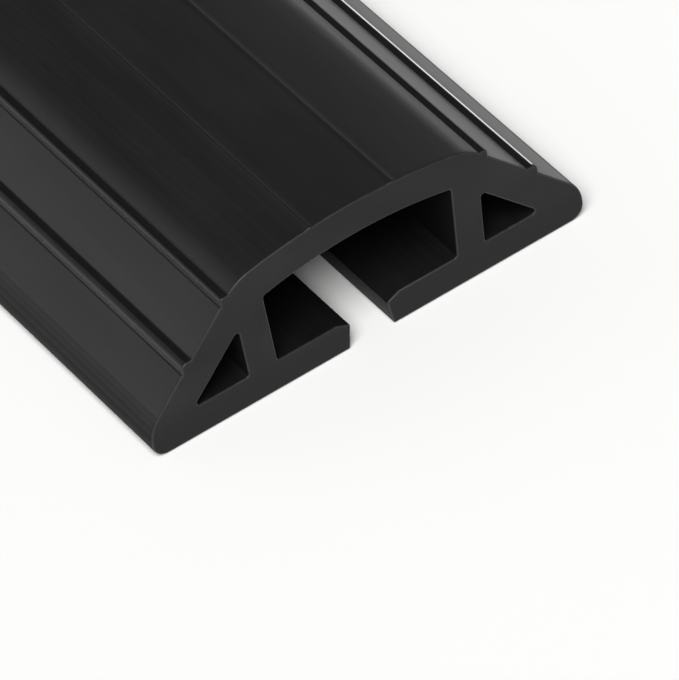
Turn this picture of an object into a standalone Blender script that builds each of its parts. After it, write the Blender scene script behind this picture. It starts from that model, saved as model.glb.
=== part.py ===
# Floor cord cover: one length of extruded flexible PVC with a low domed top, two raised ribs
# along each flank, a wide channel with a slot in the underside, and a triangular channel each side.
# The length lies along Y, the width along X, and the underside is at z = 0.

import math

import bmesh
import bpy
from mathutils import Vector

# Overall size
LENGTH = 3.048
WIDTH = 0.102
HEIGHT = 0.035

# Domed top and straight flanks. The shoulder's rounding runs on until it meets the upper rib.
CROWN_RADIUS = 0.118
SHOULDER_HALF = 0.0275
SHOULDER_ROUND = 0.011
NOSE_HEIGHT = 0.0072
NOSE_ROUND = 0.008
FOOT_ROUND = 0.0032

# Ribs on a flank: each has a level top and an upright side, which meet at a rounded corner here
RIB_CORNERS = ((0.0313, 0.0296), (0.0419, 0.01905))
RIB_ROUNDS = (0.0007, 0.0009)

# Thin line raised on each side of the top
LINE_HALF = 0.0096
LINE_WIDTH = 0.0011
LINE_HEIGHT = 0.0002

# Wall thicknesses
ARCH_WALL = 0.0077
FLANK_WALL = 0.0073
BASE_WALL = 0.0072
STRUT_WALL = 0.0066

# Central channel, a little wider at its ceiling than at its floor
CEILING_RADIUS = 0.095
CEILING_HALF = 0.0221
FLOOR_HALF = 0.0213
CHANNEL_ROUND = 0.0008

# Slot in the underside: its lips lean together and are bevelled at the top
SLOT_MOUTH = 0.0104
SLOT_THROAT = 0.0088
LIP_BEVEL_WIDTH = 0.0030
LIP_BEVEL_DEPTH = 0.0014
LIP_ROUND = 0.0005

# Triangular side channels
SIDE_ROUND = 0.0007

SMOOTH_ANGLE = math.radians(32)
COLOR = (0.024, 0.024, 0.025, 1.0)
ROUGHNESS = 0.5


def arc_height(x, top, radius):
    # Height at x of a circular arc whose highest point is over x = 0
    return top - radius + math.sqrt(radius ** 2 - x ** 2)


def arc_points(x_start, x_end, top, radius, steps):
    xs = [x_start + (x_end - x_start) * i / steps for i in range(steps + 1)]
    return [Vector((x, arc_height(x, top, radius))) for x in xs]


def fillet(before, corner, after, radius, steps=5):
    # Points of the arc that rounds the corner between its two neighbours
    towards = (before - corner).normalized()
    away = (after - corner).normalized()
    half_angle = towards.angle(away) / 2
    reach = radius / math.tan(half_angle)
    centre = corner + (towards + away).normalized() * radius / math.sin(half_angle)
    first = corner + towards * reach - centre
    last = corner + away * reach - centre
    sweep = first.angle_signed(last)
    return [centre + rotated(first, sweep * i / steps) for i in range(steps + 1)]


def rotated(vector, angle):
    # Turned clockwise, which is the way that angle_signed counts
    cosine = math.cos(angle)
    sine = math.sin(angle)
    return Vector((vector.x * cosine + vector.y * sine, vector.y * cosine - vector.x * sine))


def meet(point_a, along_a, point_b, along_b):
    # Where two straight lines cross
    across = along_a.x * along_b.y - along_a.y * along_b.x
    gap = point_b - point_a
    return point_a + along_a * ((gap.x * along_b.y - gap.y * along_b.x) / across)


def rib(corner, rounding, nose, shoulder):
    # From the flank up the rib's side, round its corner, and in along its level top to the flank
    side_foot = meet(corner, Vector((0, 1)), nose, shoulder - nose)
    top_root = meet(corner, Vector((1, 0)), nose, shoulder - nose)
    return [side_foot] + fillet(side_foot, corner, top_root, rounding, 4) + [top_root]


def crown_line(x, steps=4):
    # Points of the low round line that stands on the top, centred at x, from its outer side inwards
    foot = Vector((x, arc_height(x, HEIGHT, CROWN_RADIUS)))
    out = Vector((x, math.sqrt(CROWN_RADIUS ** 2 - x ** 2))).normalized()
    along = Vector((-out.y, out.x))
    radius = (LINE_WIDTH ** 2 / 4 + LINE_HEIGHT ** 2) / (2 * LINE_HEIGHT)
    centre = foot + out * (LINE_HEIGHT - radius)
    spread = math.atan2(LINE_WIDTH / 2, radius - LINE_HEIGHT)
    angles = [spread * (2 * i / steps - 1) for i in range(steps + 1)]
    return [centre + (along * math.sin(a) + out * math.cos(a)) * radius for a in angles]


def flank_ends():
    shoulder = Vector((SHOULDER_HALF, arc_height(SHOULDER_HALF, HEIGHT, CROWN_RADIUS)))
    nose = Vector((WIDTH / 2, NOSE_HEIGHT))
    return shoulder, nose


def channel_half():
    # Right half of the central channel and slot, from the middle of the ceiling to the underside
    ceiling = HEIGHT - ARCH_WALL
    top = Vector((CEILING_HALF, arc_height(CEILING_HALF, ceiling, CEILING_RADIUS)))
    foot = Vector((FLOOR_HALF, BASE_WALL))
    lip_top = Vector((SLOT_THROAT / 2 + LIP_BEVEL_WIDTH, BASE_WALL))
    lip_edge = Vector((SLOT_THROAT / 2, BASE_WALL - LIP_BEVEL_DEPTH))
    mouth = Vector((SLOT_MOUTH / 2, 0))
    nose_foot = Vector((WIDTH / 2, 0))
    run = arc_points(0, CEILING_HALF - 2 * CHANNEL_ROUND, ceiling, CEILING_RADIUS, 10)
    run += fillet(run[-1], top, foot, CHANNEL_ROUND)
    run += fillet(top, foot, lip_top, CHANNEL_ROUND)
    run.append(lip_top)
    run += fillet(lip_top, lip_edge, mouth, LIP_ROUND, 3)
    run += fillet(lip_edge, mouth, nose_foot, LIP_ROUND, 3)
    return run


def outside_half():
    # Right half of the outside, from the underside round the nose to the middle of the top
    shoulder, nose = flank_ends()
    underside = Vector((0, 0))
    nose_foot = Vector((WIDTH / 2, 0))
    crown = arc_points(SHOULDER_HALF - SHOULDER_ROUND / 2, 0, HEIGHT, CROWN_RADIUS, 14)
    run = fillet(underside, nose_foot, nose, FOOT_ROUND, 6)
    run += fillet(nose_foot, nose, shoulder, NOSE_ROUND, 6)
    for corner, rounding in reversed(list(zip(RIB_CORNERS, RIB_ROUNDS))):
        run += rib(Vector(corner), rounding, nose, shoulder)
    top_root = run[-1]
    run += [p for p in fillet(nose, shoulder, crown[0], SHOULDER_ROUND, 6) if p.y > top_root.y]
    return run + with_line(crown)


def with_line(crown):
    # The top's arc with its thin raised line in place of the points that the line covers
    outer = [p for p in crown if p.x > LINE_HALF + LINE_WIDTH]
    inner = [p for p in crown if p.x < LINE_HALF - LINE_WIDTH]
    return outer + crown_line(LINE_HALF) + inner


def mirrored(points):
    return [Vector((-p.x, p.y)) for p in reversed(points)]


def body_outline():
    half = channel_half() + outside_half()
    return half + mirrored(half[1:-1])


def side_channel():
    # A triangle kept one wall's thickness from the flank, the base and the central channel
    shoulder, nose = flank_ends()
    flank = (nose - shoulder).normalized()
    inward = Vector((flank.y, -flank.x))
    level = Vector((1, 0))
    ceiling = HEIGHT - ARCH_WALL
    wall_top = Vector((CEILING_HALF + STRUT_WALL, arc_height(CEILING_HALF, ceiling, CEILING_RADIUS)))
    foot = Vector((FLOOR_HALF + STRUT_WALL, BASE_WALL))
    slope = shoulder + inward * FLANK_WALL
    peak = meet(slope, flank, foot, wall_top - foot)
    tip = meet(slope, flank, foot, level)
    corners = (peak, foot, tip)
    outline = []
    for i, corner in enumerate(corners):
        outline += fillet(corners[i - 1], corner, corners[(i + 1) % 3], SIDE_ROUND, 4)
    return outline


def add_loop(mesh, points):
    y = -LENGTH / 2
    verts = [mesh.verts.new((p.x, y, p.y)) for p in points]
    pairs = zip(verts, verts[1:] + verts[:1])
    return [mesh.edges.new(pair) for pair in pairs]


def extruded_mesh(name, loops):
    # The section is filled between its loops, then drawn out along Y to the full length
    mesh = bmesh.new()
    edges = [edge for points in loops for edge in add_loop(mesh, points)]
    bmesh.ops.triangle_fill(mesh, edges=edges, use_beauty=True)
    grown = bmesh.ops.extrude_face_region(mesh, geom=mesh.faces[:])
    far_end = [item for item in grown["geom"] if isinstance(item, bmesh.types.BMVert)]
    bmesh.ops.translate(mesh, verts=far_end, vec=(0, LENGTH, 0))
    bmesh.ops.recalc_face_normals(mesh, faces=mesh.faces[:])
    data = bpy.data.meshes.new(name)
    mesh.to_mesh(data)
    mesh.free()
    return data


def black_pvc():
    material = bpy.data.materials.new("black_flexible_pvc")
    material.use_nodes = True
    shader = material.node_tree.nodes["Principled BSDF"]
    shader.inputs["Base Color"].default_value = COLOR
    shader.inputs["Roughness"].default_value = ROUGHNESS
    shader.inputs["Metallic"].default_value = 0.0
    return material


def build_cord_cover():
    channel = side_channel()
    data = extruded_mesh("cord_cover", [body_outline(), channel, mirrored(channel)])
    data.shade_smooth()
    data.set_sharp_from_angle(angle=SMOOTH_ANGLE)
    data.materials.append(black_pvc())
    cover = bpy.data.objects.new("cord_cover", data)
    bpy.context.scene.collection.objects.link(cover)


for old in list(bpy.data.objects):
    bpy.data.objects.remove(old, do_unlink=True)
build_cord_cover()
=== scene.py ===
import math

import bmesh
import bpy
from mathutils import Matrix, Vector


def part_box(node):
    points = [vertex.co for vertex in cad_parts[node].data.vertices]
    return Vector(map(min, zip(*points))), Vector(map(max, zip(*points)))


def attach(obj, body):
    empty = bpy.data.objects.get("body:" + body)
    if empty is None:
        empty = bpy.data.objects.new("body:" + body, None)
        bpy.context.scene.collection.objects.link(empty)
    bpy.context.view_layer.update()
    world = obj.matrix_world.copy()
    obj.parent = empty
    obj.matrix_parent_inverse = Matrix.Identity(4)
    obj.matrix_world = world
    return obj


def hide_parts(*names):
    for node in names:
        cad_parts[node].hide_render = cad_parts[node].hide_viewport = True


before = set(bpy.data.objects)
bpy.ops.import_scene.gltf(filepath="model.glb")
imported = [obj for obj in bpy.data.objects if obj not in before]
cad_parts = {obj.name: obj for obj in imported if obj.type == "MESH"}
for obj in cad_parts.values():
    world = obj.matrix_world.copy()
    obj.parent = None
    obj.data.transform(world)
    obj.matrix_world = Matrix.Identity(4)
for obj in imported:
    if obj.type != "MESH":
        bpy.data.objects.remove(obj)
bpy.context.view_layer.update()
lowCorner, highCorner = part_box("cord_cover")
print("frame loaded, cover is", round((highCorner.y - lowCorner.y) * 1000), "mm long")

mm = 0.001

# The extruded section, in millimetres. Width, height and length come from the frame.
cover = {
    "crownRadius": 118.0,
    "shoulderHalf": 27.5,
    "shoulderRound": 11.0,  # runs on until it meets the upper rib
    "noseHeight": 7.2,
    "noseRound": 8.0,
    "footRound": 3.2,
    "ribCorners": ((31.3, 29.6), (41.9, 19.05)),  # where a rib's level top meets its upright side
    "ribRounds": (0.7, 0.9),
    "ribCrests": (0.0, 0.42),  # width of the polished facet along each rib's corner, 0 for none
    "crestTilt": 28.0,  # degrees from level
    "ribGroove": (0.35, 0.3),  # hairline left by the die along both feet of a rib: width, depth
    "lineHalf": 9.6,
    "lineWidth": 1.1,
    "lineHeights": (0.125, 0.09),  # left and right: the die is a little more worn on one side
    "archWall": 7.7,
    "flankWall": 7.3,
    "baseWall": 7.2,
    "strutWall": 6.6,
    "ceilingRadius": 95.0,
    "ceilingHalf": 22.1,
    "floorHalf": 21.3,
    "channelRound": 0.8,
    "slotMouth": 10.4,
    "slotThroat": 8.8,
    "lipBevel": (3.0, 1.4),  # width, depth
    "lipRound": 0.5,
    "sideRound": 0.7,
    "cornerSoften": 0.3,  # the die's own radius in every corner that turns by more than sharpTurn
    "sharpTurn": 28.0,  # degrees
    "softenRoom": 0.45,  # most of a side that such an arc may take, so that two of them fit
    "rimRound": 0.28,  # edge left by the saw, rubbed smooth
    "rimSteps": 4,
    "rimSupport": 0.7,  # a ring this far behind the rim keeps the shading of the walls straight
    "ringSpacing": 50.0,
}

# Where one finish ends and the next starts, in millimetres
finishLimits = {
    "noseStart": 41.3,  # from the middle
    # The nose loses its shine towards the foot: the height that each step ends at, and its shine
    "noseFade": ((6.1, 0.06), (7.6, 0.15), (8.7, 0.26), (9.6, 0.38)),
    "ledgeReach": 3.2,  # how far a rib's ledge runs from the rib's corner
    "ledgeSlack": 0.02,  # how level with the corner the ledge is
    "channelSlack": 0.1,  # how far outside its nominal size the central channel still counts
    "closeEnough": 0.01,  # lengths and heights that count as the same
}


def arcHeight(x, top, radius):
    return top - radius + math.sqrt(radius ** 2 - x ** 2)


def crownArc(xStart, xEnd, top, radius, steps):
    xs = [xStart + (xEnd - xStart) * i / steps for i in range(steps + 1)]
    return [Vector((x, arcHeight(x, top, radius))) for x in xs]


def turned(vector, angle):
    # clockwise, which is the way that angle_signed counts
    c = math.cos(angle)
    s = math.sin(angle)
    return Vector((vector.x * c + vector.y * s, vector.y * c - vector.x * s))


def fillet(before, corner, after, radius, steps=8):
    towards = (before - corner).normalized()
    away = (after - corner).normalized()
    half = towards.angle(away) / 2
    reach = radius / math.tan(half)
    centre = corner + (towards + away).normalized() * radius / math.sin(half)
    first = corner + towards * reach - centre
    last = corner + away * reach - centre
    sweep = first.angle_signed(last)
    return [centre + turned(first, sweep * i / steps) for i in range(steps + 1)]


def meet(pointA, alongA, pointB, alongB):
    # where two straight lines cross
    across = alongA.x * alongB.y - alongA.y * alongB.x
    gap = pointB - pointA
    return pointA + alongA * ((gap.x * alongB.y - gap.y * alongB.x) / across)


def mirrored(points):
    return [Vector((-p.x, p.y)) for p in reversed(points)]


def rib(corner, crest, rounding, nose, shoulder, size):
    # from the flank into the foot's groove, up the side, in along the top and out of the other groove
    upFlank = (shoulder - nose).normalized()
    foot = meet(corner, Vector((0, 1)), nose, upFlank)
    root = meet(corner, Vector((1, 0)), nose, upFlank)
    width, depth = size["ribGroove"]
    points = [foot - upFlank * width, foot - Vector((0, depth))]
    points += ribCorner(corner, crest, rounding, math.radians(size["crestTilt"]))
    return points + [root - Vector((depth, 0)), root + upFlank * width]


def ribCorner(corner, crest, radius, tilt, outerSteps=16, innerSteps=8):
    # two arcs with the flat crest between them, from the upright side to the level top
    outerCentre = corner - Vector((radius, radius + crest * math.sin(tilt)))
    innerCentre = corner - Vector((radius + crest * math.cos(tilt), radius))
    upright = math.pi / 2
    outer = [upright + (tilt - upright) * i / outerSteps for i in range(outerSteps + 1)]
    firstInner = 0 if crest else 1  # without a crest the arcs share a point
    inner = [tilt - tilt * i / innerSteps for i in range(firstInner, innerSteps + 1)]
    points = [outerCentre + Vector((math.sin(a), math.cos(a))) * radius for a in outer]
    return points + [innerCentre + Vector((math.sin(a), math.cos(a))) * radius for a in inner]


def soften(points, size):
    # every corner that still turns sharply gets a small arc, so that it catches a line of light
    radius = size["cornerSoften"]
    result = []
    for i, corner in enumerate(points):
        before = points[i - 1]
        after = points[(i + 1) % len(points)]
        turn = (corner - before).angle(after - corner)
        if turn < math.radians(size["sharpTurn"]):
            result.append(corner)
            continue
        reach = radius * math.tan(turn / 2)
        room = size["softenRoom"] * min((corner - before).length, (after - corner).length)
        fitted = radius * min(1.0, room / reach)
        result += fillet(before, corner, after, fitted, steps=4)
    return result


def channelHalf(size, ceiling, top, foot, noseFoot):
    # right half of the central channel and slot, from the middle of the ceiling to the underside
    lipTop = Vector((size["slotThroat"] / 2 + size["lipBevel"][0], size["baseWall"]))
    lipEdge = Vector((size["slotThroat"] / 2, size["baseWall"] - size["lipBevel"][1]))
    mouth = Vector((size["slotMouth"] / 2, 0))
    reach = size["ceilingHalf"] - 2 * size["channelRound"]
    run = crownArc(0, reach, ceiling, size["ceilingRadius"], steps=20)
    run += fillet(run[-1], top, foot, size["channelRound"])
    run += fillet(top, foot, lipTop, size["channelRound"])
    run.append(lipTop)
    run += fillet(lipTop, lipEdge, mouth, size["lipRound"])
    return run + fillet(lipEdge, mouth, noseFoot, size["lipRound"])


def outsideHalf(size, nose, noseFoot, shoulder, crown):
    # right half of the outside, from the underside round the nose and up to the crown
    mouth = Vector((size["slotMouth"] / 2, 0))
    run = fillet(mouth, noseFoot, nose, size["footRound"], steps=12)
    run += fillet(noseFoot, nose, shoulder, size["noseRound"], steps=10)
    ribs = list(zip(size["ribCorners"], size["ribCrests"], size["ribRounds"]))
    for corner, crest, rounding in reversed(ribs):
        run += rib(Vector(corner), crest, rounding, nose, shoulder, size)
    rootHeight = run[-1].y
    rounded = fillet(nose, shoulder, crown[0], size["shoulderRound"], steps=16)
    return run + [p for p in rounded if p.y > rootHeight]


def crownWithLine(size, crown, height, rise, steps=8):
    # the low round line takes the place of the points that it covers
    lineAt = size["lineHalf"]
    width = size["lineWidth"]
    foot = Vector((lineAt, arcHeight(lineAt, height, size["crownRadius"])))
    out = (foot - Vector((0, height - size["crownRadius"]))).normalized()
    inward = Vector((-out.y, out.x))
    radius = (width ** 2 / 4 + rise ** 2) / (2 * rise)
    centre = foot + out * (rise - radius)
    spread = math.atan2(width / 2, radius - rise)
    angles = [spread * (2 * i / steps - 1) for i in range(steps + 1)]
    line = [centre + (inward * math.sin(a) + out * math.cos(a)) * radius for a in angles]
    outer = [p for p in crown if p.x > lineAt + width]
    inner = [p for p in crown if p.x < lineAt - width]
    return outer + line + inner


def sideTriangle(size, nose, shoulder, top, foot):
    # one wall's thickness from the flank, the base and the central channel
    flankAlong = (nose - shoulder).normalized()
    flankStart = shoulder + Vector((flankAlong.y, -flankAlong.x)) * size["flankWall"]
    wallFoot = foot + Vector((size["strutWall"], 0))
    wallTop = top + Vector((size["strutWall"], 0))
    peak = meet(flankStart, flankAlong, wallFoot, wallTop - wallFoot)
    tip = meet(flankStart, flankAlong, wallFoot, Vector((1, 0)))
    corners = (peak, wallFoot, tip)
    triangle = []
    for i, corner in enumerate(corners):
        triangle += fillet(corners[i - 1], corner, corners[(i + 1) % 3], size["sideRound"])
    return triangle


def sectionLoops(size, halfWidth, height):
    ceiling = height - size["archWall"]
    ceilingSide = arcHeight(size["ceilingHalf"], ceiling, size["ceilingRadius"])
    top = Vector((size["ceilingHalf"], ceilingSide))
    foot = Vector((size["floorHalf"], size["baseWall"]))
    noseFoot = Vector((halfWidth, 0))
    nose = Vector((halfWidth, size["noseHeight"]))
    shoulderHeight = arcHeight(size["shoulderHalf"], height, size["crownRadius"])
    shoulder = Vector((size["shoulderHalf"], shoulderHeight))
    crownStart = size["shoulderHalf"] - size["shoulderRound"] / 2
    crown = crownArc(crownStart, 0, height, size["crownRadius"], steps=36)

    half = channelHalf(size, ceiling, top, foot, noseFoot)
    half += outsideHalf(size, nose, noseFoot, shoulder, crown)
    left, right = (half + crownWithLine(size, crown, height, rise) for rise in size["lineHeights"])
    triangle = sideTriangle(size, nose, shoulder, top, foot)
    return [soften(right + mirrored(left[1:-1]), size), triangle, mirrored(triangle)]


def intoWall(loop, isHole):
    # at each point, the direction that leads into the plastic
    area = sum(a.x * b.y - b.x * a.y for a, b in zip(loop, loop[1:] + loop[:1]))
    sign = 1 if (area > 0) != isHole else -1
    count = len(loop)
    result = []
    for i in range(count):
        along = (loop[(i + 1) % count] - loop[i - 1]).normalized()
        result.append(Vector((-along.y, along.x)) * sign)
    return result


def ringPlaces(size, halfLength):
    # (place along the length, inset) of each ring, with a quarter round at both ends
    rim = size["rimRound"]
    quarter = [math.pi / 2 * i / size["rimSteps"] for i in range(size["rimSteps"] + 1)]
    farRim = [(halfLength - rim + rim * math.sin(a), rim - rim * math.cos(a)) for a in quarter]
    nearRim = [(-y, inset) for y, inset in reversed(farRim)]
    count = round(2 * halfLength / size["ringSpacing"])
    span = 2 * (halfLength - rim)
    middle = [(-span / 2 + span * i / count, 0.0) for i in range(1, count)]
    support = halfLength - rim - size["rimSupport"]
    return nearRim + [(-support, 0.0)] + middle + [(support, 0.0)] + farRim


def faceZone(a, b, size, limits, ceiling):
    # which finish a strip of the outer wall between two section points has
    top = max(a.y, b.y)
    if top < limits["closeEnough"]:
        return "underside"
    if abs(a.x) > limits["noseStart"]:
        for step, (height, _) in enumerate(limits["noseFade"]):
            if top < height:
                return f"nose{step}"
    for (x, z), crest in zip(size["ribCorners"], size["ribCrests"]):
        if max(abs(abs(a.x) - x), abs(abs(b.x) - x)) >= limits["ledgeReach"]:
            continue
        # a rib's ledge takes the channel finish, whose darker black is painted shade
        if max(abs(a.y - z), abs(b.y - z)) < limits["ledgeSlack"]:
            return "channel"
        if crest and abs((a - b).length - crest) < limits["closeEnough"]:
            return "crest"
    wide = size["ceilingHalf"] + limits["channelSlack"]
    high = ceiling + limits["channelSlack"]
    isInner = max(abs(a.x), abs(b.x)) < wide and top < high
    return "channel" if isInner else "outside"


zones = ["outside", "channel", "underside", "rim", "sawn", "crest"]
zones += [f"nose{step}" for step in range(len(finishLimits["noseFade"]))]


def makeCover(size, limits):
    halfWidth = (highCorner.x - lowCorner.x) / 2 / mm
    height = (highCorner.z - lowCorner.z) / mm
    halfLength = (highCorner.y - lowCorner.y) / 2 / mm
    ceiling = height - size["archWall"]
    loops = sectionLoops(size, halfWidth, height)
    places = ringPlaces(size, halfLength)
    mesh = bmesh.new()
    ends = ([], [])
    for number, loop in enumerate(loops):
        walls = intoWall(loop, number > 0)
        rings = []
        for y, inset in places:
            moved = [p + w * inset for p, w in zip(loop, walls)]
            rings.append([mesh.verts.new((p.x * mm, y * mm, p.y * mm)) for p in moved])
        count = len(loop)
        lastWall = len(rings) - 1 - size["rimSteps"]
        for k in range(len(rings) - 1):
            isRim = k < size["rimSteps"] or k >= lastWall
            for i in range(count):
                j = (i + 1) % count
                face = mesh.faces.new((rings[k][i], rings[k][j], rings[k + 1][j], rings[k + 1][i]))
                zone = "channel" if number else faceZone(loop[i], loop[j], size, limits, ceiling)
                face.material_index = zones.index("rim" if isRim else zone)
                face.smooth = True
        for end, ring in zip(ends, (rings[0], rings[-1])):
            end += [mesh.edges.get((ring[i], ring[(i + 1) % count])) for i in range(count)]
    for edges in ends:
        filled = bmesh.ops.triangle_fill(mesh, edges=edges, use_beauty=True)["geom"]
        for face in [g for g in filled if isinstance(g, bmesh.types.BMFace)]:
            face.material_index = zones.index("sawn")
            face.smooth = False
        for edge in edges:
            edge.smooth = False
    bmesh.ops.recalc_face_normals(mesh, faces=mesh.faces[:])
    data = bpy.data.meshes.new("extrudedCordCover")
    mesh.to_mesh(data)
    mesh.free()
    piece = bpy.data.objects.new("extrudedCordCover", data)
    bpy.context.scene.collection.objects.link(piece)
    return piece


coverPiece = makeCover(cover, finishLimits)
print("cover drawn,", len(coverPiece.data.polygons), "faces")


def hexColor(text):
    # an sRGB hex value as the linear colour that Blender's sockets take
    channels = [int(text[i:i + 2], 16) / 255 for i in (1, 3, 5)]
    linear = [c / 12.92 if c <= 0.04045 else ((c + 0.055) / 1.055) ** 2.4 for c in channels]
    return (*linear, 1.0)


def addNode(tree, kind, settings=None, output=0, **inputs):
    # Settings are the node's own properties. An input is named like its socket, fromMin for From Min,
    # or i6 for the seventh, and is a value or the output that feeds it. What comes back is one output.
    node = tree.nodes.new(kind)
    for name, value in (settings or {}).items():
        setattr(node, name, value)
    for name, value in inputs.items():
        title = "".join(" " + c if c.isupper() else c for c in name).title()
        socket = node.inputs[int(name[1:]) if name[1:].isdigit() else title]
        if isinstance(value, bpy.types.NodeSocket):
            tree.links.new(value, socket)
        else:
            socket.default_value = value
    return node.outputs[output]


smoothStep = {"interpolation_type": "SMOOTHSTEP"}
noiseRange = (0.3, 0.7)  # where most values of a noise pattern lie


def newMaterial(name):
    material = bpy.data.materials.new(name)
    material.use_nodes = True
    tree = material.node_tree
    return material, tree, tree.nodes["Principled BSDF"]


def unevenPattern(tree, spot, across, along, detail, rough=0.5):
    # soft patches, so many to the metre across and along the cover
    placed = addNode(tree, "ShaderNodeMapping", vector=spot, scale=(across, along, across))
    return addNode(tree, "ShaderNodeTexNoise", vector=placed, scale=1.0, detail=detail, roughness=rough)


def finishSkin(tree, shader, look, wear, streaks, relief, most=1.0):
    # The paler black comes through where the wear is high, and the roughness follows the streaks.
    # Each layer of the relief is a pattern with its strength and its depth in millimetres.
    start, full = look["paleEdge"]
    amount = addNode(tree, "ShaderNodeMapRange", smoothStep, value=wear, fromMin=start, fromMax=full,
                     toMin=0.0, toMax=most)
    tint = addNode(tree, "ShaderNodeMix", {"data_type": "RGBA"}, output=2, i0=amount,
                   i6=hexColor(look["black"]), i7=hexColor(look["pale"]))
    tree.links.new(tint, shader.inputs["Base Color"])
    low, high = noiseRange
    smooth, dull = look["roughness"]
    sheen = addNode(tree, "ShaderNodeMapRange", value=streaks, fromMin=low, fromMax=high,
                    toMin=smooth, toMax=dull)
    tree.links.new(sheen, shader.inputs["Roughness"])
    below = {}
    for pattern, (strength, depthMm) in relief:
        bump = addNode(tree, "ShaderNodeBump", height=pattern, strength=strength,
                       distance=depthMm * mm, **below)
        below = {"normal": bump}
    tree.links.new(bump, shader.inputs["Normal"])
    for key, socket in (("ior", "IOR"), ("specular", "Specular IOR Level")):
        if key in look:
            shader.inputs[socket].default_value = look[key]


# Flexible PVC, coloured right through with carbon black and drawn through a steel die. The die leaves
# faint lines along the length, and the eye sees a satin black that turns pale at a low angle.
satinPvc = {
    "black": "#121213",
    "pale": "#181819",  # the haze of an unpolished skin
    "roughness": (0.37, 0.44),
    "ior": 1.53,
    "dieLineMm": (0.7, 250),  # across and along. Really about 0.1 mm across, drawn coarser so that it shows
    "grainMm": 0.3,
    "waveMm": (16, 60),  # how the soft profile settles as it cools
    "cloudsPerMetre": (110, 30),  # 9 mm across, 33 mm along
    "paleEdge": (0.35, 0.75),  # pattern values at which the pale starts and is full
    "waveBump": (0.5, 0.08),  # strength, and depth in millimetres
    "lineBump": (0.35, 0.015),
    "grainBump": (0.4, 0.01),
}


def makeSatinPvc(look):
    material, tree, shader = newMaterial("satinExtrudedPvc")
    spot = addNode(tree, "ShaderNodeTexCoord", output="Object")
    lineWide, lineLong = look["dieLineMm"]
    dieLines = unevenPattern(tree, spot, 1000 / lineWide, 1000 / lineLong, detail=3.0)
    waveWide, waveLong = look["waveMm"]
    waves = unevenPattern(tree, spot, 1000 / waveWide, 1000 / waveLong, detail=1.5)
    grain = unevenPattern(tree, spot, 1000 / look["grainMm"], 1000 / look["grainMm"], detail=2.0)
    clouds = unevenPattern(tree, spot, *look["cloudsPerMetre"], detail=5.0)

    relief = [(waves, look["waveBump"]), (dieLines, look["lineBump"]), (grain, look["grainBump"])]
    finishSkin(tree, shader, look, wear=clouds, streaks=dieLines, relief=relief)
    return material


# The walls of the channels and the ledges on top of the ribs cool in still air, away from the sizing
# plate, so they stay dull and hold a little dust. Their black is darker than the rest: painted shade.
channelPvcWithPaintedShade = {
    # painted shade: a darker black than the flank's, for the channels and the rib ledges
    "black": "#0b0b0c",
    "pale": "#141413",  # dust
    "roughness": (0.55, 0.66),
    "specular": 0.2,
    "dieLineMm": (0.9, 200),  # across and along, drawn coarser across so that it shows
    "dustPerMetre": (350, 140),  # 3 mm across, 7 mm along
    "paleEdge": (0.5, 0.8),
    "lineBump": (0.5, 0.03),
}


def makeChannelPvcWithPaintedShade(look):
    material, tree, shader = newMaterial("dullChannelPvcWithPaintedShade")
    spot = addNode(tree, "ShaderNodeTexCoord", output="Object")
    lineWide, lineLong = look["dieLineMm"]
    dieLines = unevenPattern(tree, spot, 1000 / lineWide, 1000 / lineLong, detail=3.0)
    dust = unevenPattern(tree, spot, *look["dustPerMetre"], detail=8.0, rough=0.7)

    relief = [(dieLines, look["lineBump"])]
    finishSkin(tree, shader, look, wear=dust, streaks=dieLines, relief=relief)
    return material


# The underside is pressed flat on the cooling table: an even, dull black with hardly a line in it. The
# nose hangs free of any plate. It starts nearly as shiny as the flank and is dullest at the foot.
undersidePvc = {
    "black": "#151516",
    "pale": "#1c1c1c",  # scuffed
    "roughness": (0.5, 0.6),
    "specular": 0.22,
    "dieLinesPerMetre": (700, 3),  # 1.4 mm across, 330 mm along
    "patchesPerMetre": 120,  # 8 mm
    "paleEdge": (0.4, 0.7),
    "lineBump": (0.4, 0.03),
}


def makeUndersidePvc(look, name):
    material, tree, shader = newMaterial(name)
    spot = addNode(tree, "ShaderNodeTexCoord", output="Object")
    dieLines = unevenPattern(tree, spot, *look["dieLinesPerMetre"], detail=2.0)
    often = look["patchesPerMetre"]
    patches = unevenPattern(tree, spot, often, often, detail=6.0, rough=0.6)

    relief = [(dieLines, look["lineBump"])]
    finishSkin(tree, shader, look, wear=patches, streaks=patches, relief=relief)
    return material


# The same PVC where a saw has cut it: matt, with the blade's marks in faint arcs across the wall.
# The torn surface scatters light, so it shines less than the drawn one and is a shade greyer.
sawnPvc = {
    "black": "#131314",
    "pale": "#242425",  # chalky where the blade tore it
    "roughness": (0.58, 0.7),
    "specular": 0.27,
    "bladeMarkMm": 1.1,  # really about 0.4 mm, drawn coarser so that it shows
    "bladeMm": (0, -180),  # middle of the saw blade: 180 mm below the foot
    "crumbsPerMetre": 1500,  # 0.7 mm
    "smudgesPerMetre": 38,  # 26 mm
    "crumbShare": 0.35,  # how much the crumbs break up the smudges
    "paleEdge": (0.48, 0.9),
    "footShadeMm": (3, 14),  # painted shade: the cut is blacker towards the foot, with no pale below the first height and all of it above the second
    "crumbBump": (0.4, 0.03),
    "markBump": (0.3, 0.02),
}
waveTextureMm = 310  # at scale 1, Blender's wave texture repeats about this often


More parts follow.
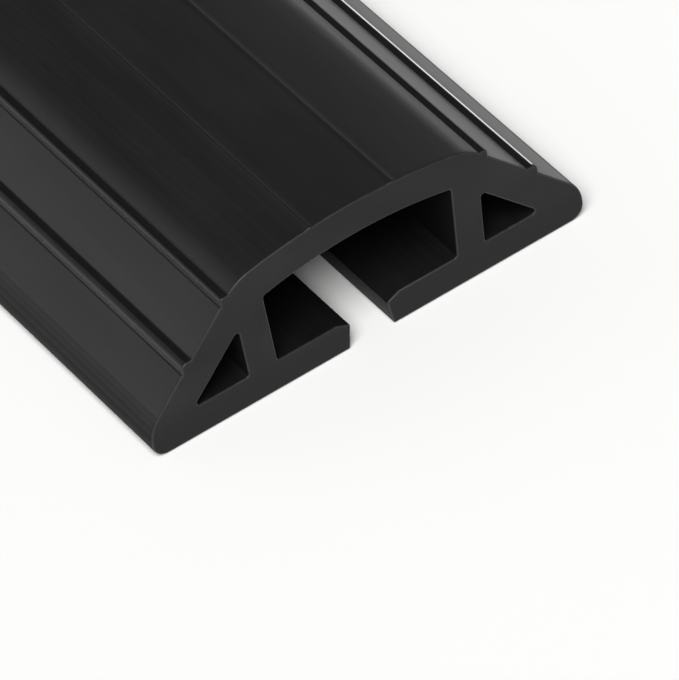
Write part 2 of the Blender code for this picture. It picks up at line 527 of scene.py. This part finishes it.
def makeSawnPvc(look):
    material, tree, shader = newMaterial("sawnPvc")
    spot = addNode(tree, "ShaderNodeTexCoord", output="Object")
    bladeX, bladeZ = look["bladeMm"]
    fromBlade = addNode(tree, "ShaderNodeMapping", vector=spot, scale=(1, 0, 1),
                        location=(-bladeX * mm, 0, -bladeZ * mm))
    arcs = {"wave_type": "RINGS", "rings_direction": "SPHERICAL"}
    marks = addNode(tree, "ShaderNodeTexWave", arcs, output=1, vector=fromBlade, distortion=1.5,
                    scale=waveTextureMm / look["bladeMarkMm"], detail=3.0, detailScale=0.4)
    often = look["crumbsPerMetre"]
    crumbs = unevenPattern(tree, spot, often, often, detail=6.0, rough=0.65)
    seldom = look["smudgesPerMetre"]
    smudges = unevenPattern(tree, spot, seldom, seldom, detail=2.0)

    handled = addNode(tree, "ShaderNodeMath", {"operation": "MULTIPLY_ADD"}, i0=crumbs,
                      i1=look["crumbShare"], i2=smudges)
    # painted shade: the cut keeps none of its pale near the foot and all of it higher up
    deepShadeTop, shadeEndsAt = look["footShadeMm"]
    height = addNode(tree, "ShaderNodeSeparateXYZ", output=2, i0=spot)
    clearOfFootShade = addNode(tree, "ShaderNodeMapRange", smoothStep, value=height,
                        fromMin=deepShadeTop * mm, fromMax=shadeEndsAt * mm)
    relief = [(crumbs, look["crumbBump"]), (marks, look["markBump"])]
    finishSkin(tree, shader, look, wear=handled, streaks=crumbs, relief=relief, most=clearOfFootShade)
    return material


# The saw's edge, rubbed round by hand: smoother than either face, so it shows as a thin pale line. Its
# black is paler than the faces', a painted highlight along that line; the rubbed patches are wear.
rimPvcWithPaintedHighlight = {
    # painted highlight: paler than the black of the faces
    "black": "#181819",
    "pale": "#222223",  # rubbed
    "roughness": (0.46, 0.56),
    "ior": 1.5,
    "wearMm": (1.1, 1.1),  # nicks left by the rubbing: across, along
    "paleEdge": (0.4, 0.7),
    "wearBump": (0.4, 0.05),
}

# The crest of the lower rib, pressed hard against the sizing plate while it was soft. It comes out
# glossier than the rest and draws a bright thread along the flank.
crestPvc = {
    "black": "#141415",
    "pale": "#1c1c1d",  # rubbed
    "roughness": (0.05, 0.09),
    "ior": 1.53,
    "wearMm": (2.5, 6.0),
    "paleEdge": (0.4, 0.7),
    "wearBump": (0.2, 0.01),
}


def makeRubbedPvc(look, name):
    material, tree, shader = newMaterial(name)
    spot = addNode(tree, "ShaderNodeTexCoord", output="Object")
    across, along = look["wearMm"]
    wear = unevenPattern(tree, spot, 1000 / across, 1000 / along, detail=4.0)
    finishSkin(tree, shader, look, wear=wear, streaks=wear, relief=[(wear, look["wearBump"])])
    return material


finishes = {
    "outside": makeSatinPvc(satinPvc),
    "channel": makeChannelPvcWithPaintedShade(channelPvcWithPaintedShade),
    "underside": makeUndersidePvc(undersidePvc, "pressedUndersidePvc"),
    "rim": makeRubbedPvc(rimPvcWithPaintedHighlight, "rubbedRimPvcWithPaintedHighlight"),
    "sawn": makeSawnPvc(sawnPvc),
    "crest": makeRubbedPvc(crestPvc, "glossyRibCrestPvc"),
}
for step, (_, shine) in enumerate(finishLimits["noseFade"]):
    nosePvc = {**undersidePvc, "specular": shine}
    finishes[f"nose{step}"] = makeUndersidePvc(nosePvc, f"freeDrawnNosePvc{step}")
for zone in zones:
    coverPiece.data.materials.append(finishes[zone])
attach(coverPiece, "root")
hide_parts("cord_cover")
print("finishes applied")


# A white floor, a high soft key light from the camera's left, and a sky that is bright near the
# horizon and dark above, so the top stays dark and the flanks pick up the light. Soft lights stand
# low and far off around it.
studio = {
    "floorHalf": 60.0,  # metres
    "floorDrop": 0.2,  # millimetres under the cover
    "floorColor": "#f6f6f5",
    "floorRoughness": 0.9,
    "floorSpecular": 0.2,
    "keyFrom": (-0.35, -0.45, 0.82),
    "keyStrength": 3.6,
    "keySpread": 40.0,
    "horizon": 0.43,
    "overhead": 0.07,
    "darkFrom": 0.5,  # height on the sky, from 0 at the horizon to 1 overhead
    # Edge is the cosine at which a light's soft edge starts, and the one at which the light is full
    "lights": [
        # wide, at the back right: draws the pale edge along the right of the top
        {"towards": (0.72, 0.61, 0.32), "strength": 0.22, "edge": (0.90, 0.985)},
        # small and bright, at the back right: mirrored by the glossy crest of the right lower rib
        {"towards": (0.756, 0.651, 0.064), "strength": 6.2, "edge": (0.9990, 0.9998)},
        # wide, at the back left: brings up the left flank
        {"towards": (-0.70, 0.64, 0.31), "strength": 0.46, "edge": (0.80, 0.97)},
    ],
}


def makeFloor(look):
    half = look["floorHalf"]
    z = -look["floorDrop"] * mm
    corners = [(x, y, z) for x, y in ((-half, -half), (half, -half), (half, half), (-half, half))]
    data = bpy.data.meshes.new("studioFloor")
    data.from_pydata(corners, [], [(0, 1, 2, 3)])
    floor = bpy.data.objects.new("studioFloor", data)
    bpy.context.scene.collection.objects.link(floor)
    material, tree, shader = newMaterial("paleMattFloor")
    shader.inputs["Base Color"].default_value = hexColor(look["floorColor"])
    shader.inputs["Roughness"].default_value = look["floorRoughness"]
    shader.inputs["Specular IOR Level"].default_value = look["floorSpecular"]
    data.materials.append(material)


def makeLights(look):
    key = bpy.data.lights.new("keyLight", "SUN")
    key.energy = look["keyStrength"]
    key.angle = math.radians(look["keySpread"])
    keyObject = bpy.data.objects.new("keyLight", key)
    keyObject.rotation_euler = Vector(look["keyFrom"]).to_track_quat("Z", "Y").to_euler()
    bpy.context.scene.collection.objects.link(keyObject)

    world = bpy.data.worlds.new("studioSky")
    world.use_nodes = True
    tree = world.node_tree
    spot = addNode(tree, "ShaderNodeTexCoord", output="Generated")
    height = addNode(tree, "ShaderNodeSeparateXYZ", output=2, i0=spot)
    total = addNode(tree, "ShaderNodeMapRange", smoothStep, value=height, fromMin=0.0,
                    fromMax=look["darkFrom"], toMin=look["horizon"], toMax=look["overhead"])
    for light in look["lights"]:
        nearness = addNode(tree, "ShaderNodeVectorMath", {"operation": "DOT_PRODUCT"}, output=1,
                           i0=spot, i1=Vector(light["towards"]).normalized())
        edgeStart, edgeFull = light["edge"]
        glow = addNode(tree, "ShaderNodeMapRange", smoothStep, value=nearness, fromMin=edgeStart,
                       fromMax=edgeFull, toMin=0.0, toMax=light["strength"])
        total = addNode(tree, "ShaderNodeMath", {"operation": "ADD"}, i0=total, i1=glow)
    background = tree.nodes["Background"]
    background.inputs["Color"].default_value = (1, 1, 1, 1)
    tree.links.new(total, background.inputs["Strength"])
    bpy.context.scene.world = world


# Where the photograph was taken from, found by fitting the section's edges to it
photoView = {
    "aim": (-5.6, 3.2, 0.15),  # millimetres from the middle of the near end's foot
    "distance": 1520.4,
    "azimuth": 28.38,  # turned right from looking along the length
    "elevation": 43.42,
    "roll": 9.43,
    "lens": 416.6,
    "sensor": 36.0,
    "clip": (0.05, 200.0),  # metres, so that the whole floor stays in view
}


def makeCamera(look):
    data = bpy.data.cameras.new("photoCamera")
    data.lens = look["lens"]
    data.sensor_width = look["sensor"]
    data.clip_start, data.clip_end = look["clip"]
    camera = bpy.data.objects.new("photoCamera", data)
    bpy.context.scene.collection.objects.link(camera)
    azimuth = math.radians(look["azimuth"])
    elevation = math.radians(look["elevation"])
    level = math.cos(elevation)
    forward = Vector((math.sin(azimuth) * level, math.cos(azimuth) * level, -math.sin(elevation)))
    aim = Vector((0, lowCorner.y, 0)) + Vector(look["aim"]) * mm
    turn = forward.to_track_quat("-Z", "Y").to_matrix().to_4x4()
    roll = Matrix.Rotation(-math.radians(look["roll"]), 4, "Z")
    camera.matrix_world = Matrix.Translation(aim - forward * look["distance"] * mm) @ turn @ roll
    bpy.context.scene.camera = camera


makeFloor(studio)
makeLights(studio)
makeCamera(photoView)
bpy.context.scene.view_settings.view_transform = "Standard"
print("studio ready")
